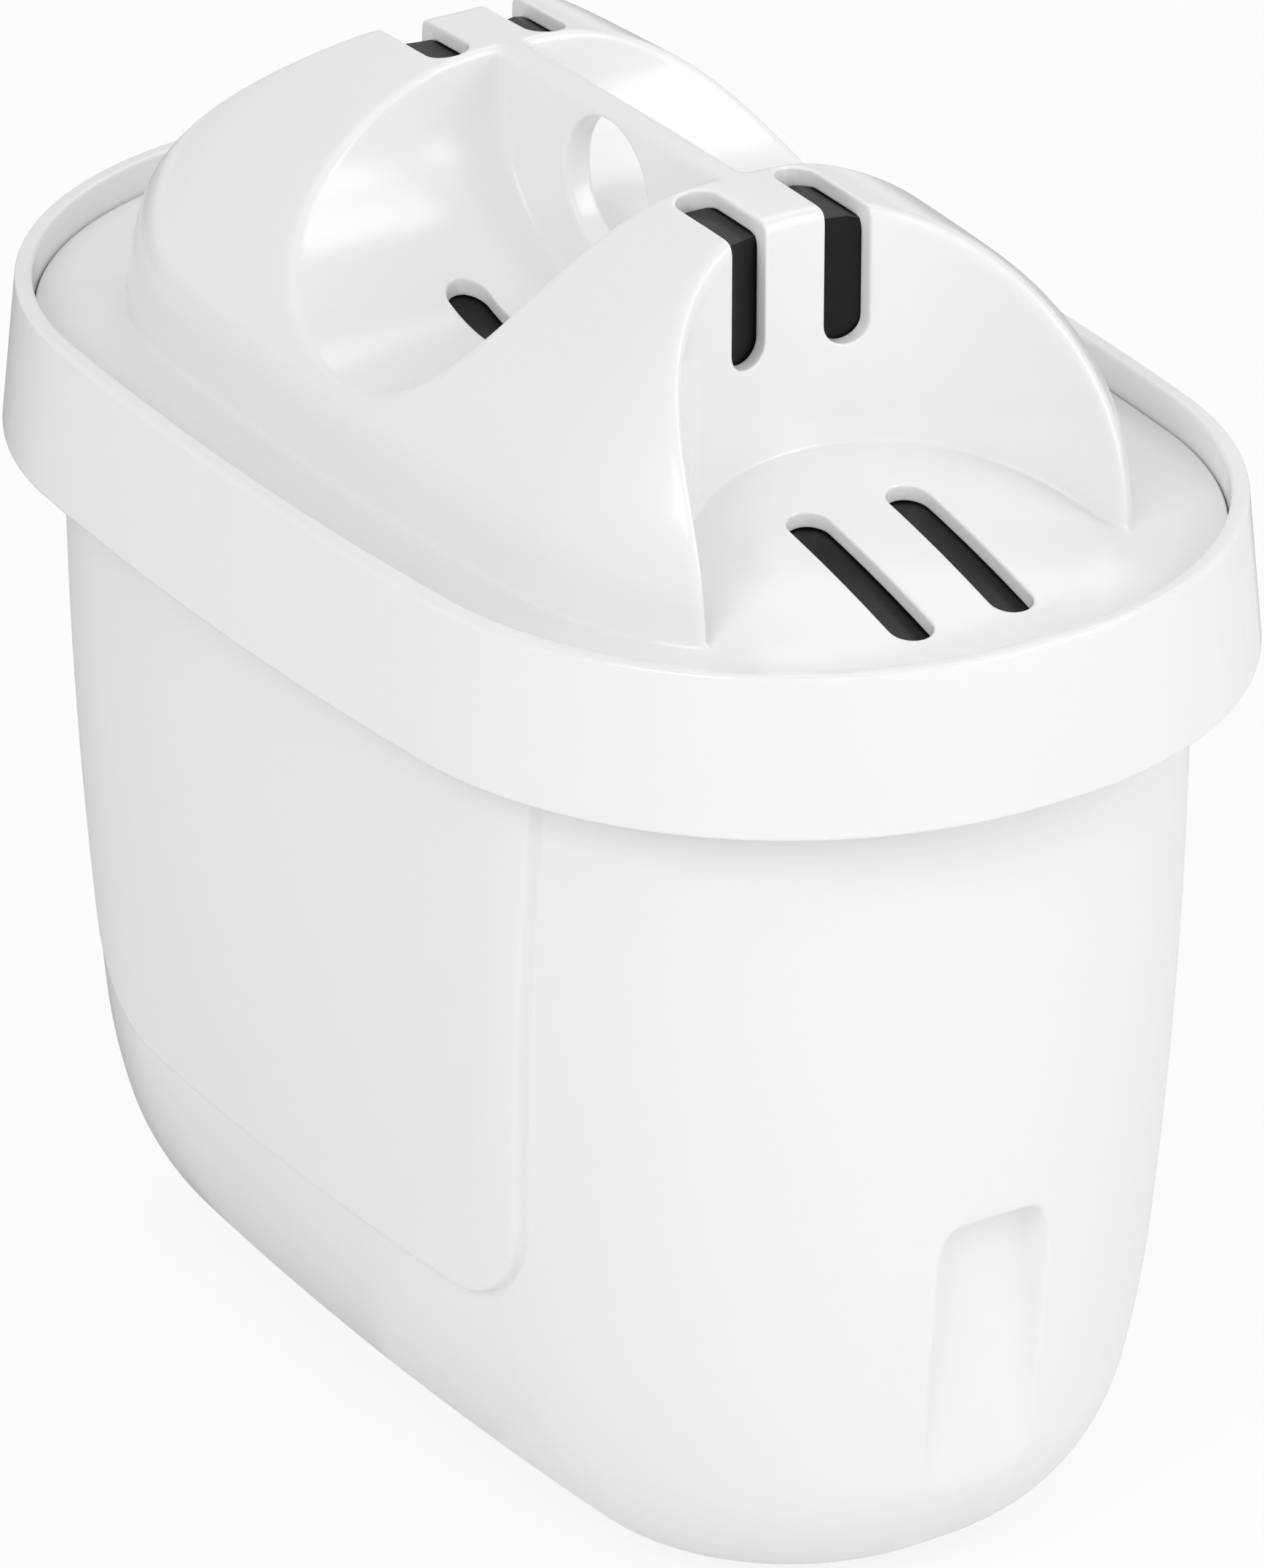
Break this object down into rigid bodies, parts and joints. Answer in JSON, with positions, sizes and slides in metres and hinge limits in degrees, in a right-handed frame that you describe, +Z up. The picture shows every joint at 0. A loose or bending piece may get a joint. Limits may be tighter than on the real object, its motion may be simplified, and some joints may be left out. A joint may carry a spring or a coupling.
{
  "type": "water pitcher filter cartridge",
  "caption": "Oval drop-in water filter cup with a turned-down collar, slotted vaulted lid, finger scoops and a pierced centre web.",
  "frame": {"origin": "centre of the overall box, on the plane of the base", "axes": "+Z up through the lid, +X along the long side of the oval, +Y across it"},
  "size_m": [0.1104, 0.0684, 0.1002],
  "materials": {
    "shell": "glossy white moulded polypropylene",
    "screen": "fine black mesh",
    "media": "dark granules"
  },
  "bodies": {
    "root": {"cup": "shell", "lid": "shell", "inlet_screen": "screen", "outlet_screen": "screen", "media_bed": "media"}
  },
  "joints": []
}
